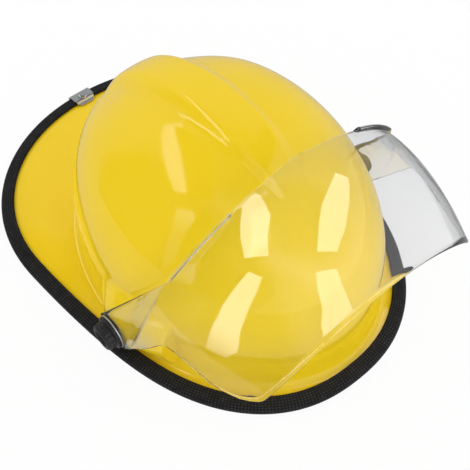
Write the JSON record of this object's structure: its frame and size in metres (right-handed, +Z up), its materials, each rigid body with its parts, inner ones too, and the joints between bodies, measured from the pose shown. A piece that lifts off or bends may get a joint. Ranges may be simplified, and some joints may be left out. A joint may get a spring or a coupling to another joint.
{
  "type": "fire helmet",
  "caption": "Brimmed fire helmet with a raised front-to-back ridge, a flip-up clear face shield on clamping knobs, an adjustable headband and a chin strap.",
  "frame": {"origin": "middle of the head opening on the plane that the edge trim rests on, under the crown's centre", "axes": "-Y the way the wearer looks, +X to the wearer's left, +Z up towards the crown"},
  "size_m": [0.2794, 0.3884, 0.181],
  "materials": {
    "shell_yellow": "moulded, glossy",
    "trim_rubber": "ribbed, satin",
    "plated_steel": "zinc plated",
    "clear_visor": "clear, polished",
    "black_plastic": "moulded, fine grain",
    "washer_rubber": "smooth",
    "liner_foam": "closed-cell foam",
    "webbing": "woven",
    "padding": "knitted cover over foam"
  },
  "bodies": {
    "shell": {"outer_shell": "shell_yellow", "edge_trim": "trim_rubber", "rear_clip": "plated_steel", "clip_rivet": "plated_steel", "clamp_washers": "plated_steel", "friction_washers": "washer_rubber", "pivot_screws": "plated_steel", "backing_washers": "plated_steel", "impact_liner": "liner_foam", "strap_keys": "black_plastic", "crown_strap_long": "webbing", "crown_strap_cross": "webbing", "crown_pad": "padding", "headband_front": "black_plastic", "brow_pad": "padding", "chin_anchors": "plated_steel", "anchor_rivets": "plated_steel"},
    "visor": {"visor": "clear_visor"},
    "knob_right": {"visor_knob_right": "black_plastic"},
    "knob_left": {"visor_knob_left": "black_plastic"},
    "nape": {"nape_band": "black_plastic", "nape_pad": "padding", "ratchet_housing": "black_plastic"},
    "ratchet": {"ratchet_pinion": "black_plastic", "ratchet_knob": "black_plastic"},
    "chin": {"chin_strap": "webbing", "strap_adjuster": "plated_steel", "chin_cup": "black_plastic", "buckle_socket": "black_plastic", "buckle_plug": "black_plastic"},
    "arm_front": {"release_arm_front": "black_plastic"},
    "arm_rear": {"release_arm_rear": "black_plastic"}
  },
  "joints": [
    {"name": "visor_tilt", "type": "hinge", "parent": "shell", "child": "visor", "pos_m": [0, -0.0208, 0.03], "axis": [1, 0, 0], "range_deg": [-52, 64]},
    {"name": "knob_right_turn", "type": "hinge", "parent": "shell", "child": "knob_right", "pos_m": [-0.1256, -0.0208, 0.03], "axis": [-1, 0, 0], "range_deg": [-180, 90]},
    {"name": "knob_left_turn", "type": "hinge", "parent": "shell", "child": "knob_left", "pos_m": [0.1256, -0.0208, 0.03], "axis": [1, 0, 0], "range_deg": [-180, 90]},
    {"name": "nape_slide", "type": "slide", "parent": "shell", "child": "nape", "axis": [0, 1, 0], "range_m": [-0.018, 0.012]},
    {"name": "ratchet_turn", "type": "hinge", "parent": "nape", "child": "ratchet", "pos_m": [0, 0.105, 0.03], "axis": [0, 1, 0], "range_deg": [-207, 138]},
    {"name": "chin_strap_swing", "type": "hinge", "parent": "shell", "child": "chin", "pos_m": [0, -0.046, 0.01], "axis": [-1, 0, 0], "range_deg": [0, 110]},
    {"name": "release_front", "type": "slide", "parent": "chin", "child": "arm_front", "axis": [0, 0, -1], "range_m": [0, 0.0015], "stiffness_N_per_m": 600},
    {"name": "release_rear", "type": "slide", "parent": "chin", "child": "arm_rear", "axis": [0, 0, -1], "range_m": [-0.0015, 0], "stiffness_N_per_m": 600}
  ],
  "couplings": [
    {"joint": "ratchet_turn", "follows": "nape_slide", "rad_per_m": 200},
    {"joint": "release_rear", "follows": "release_front", "ratio": -1}
  ]
}
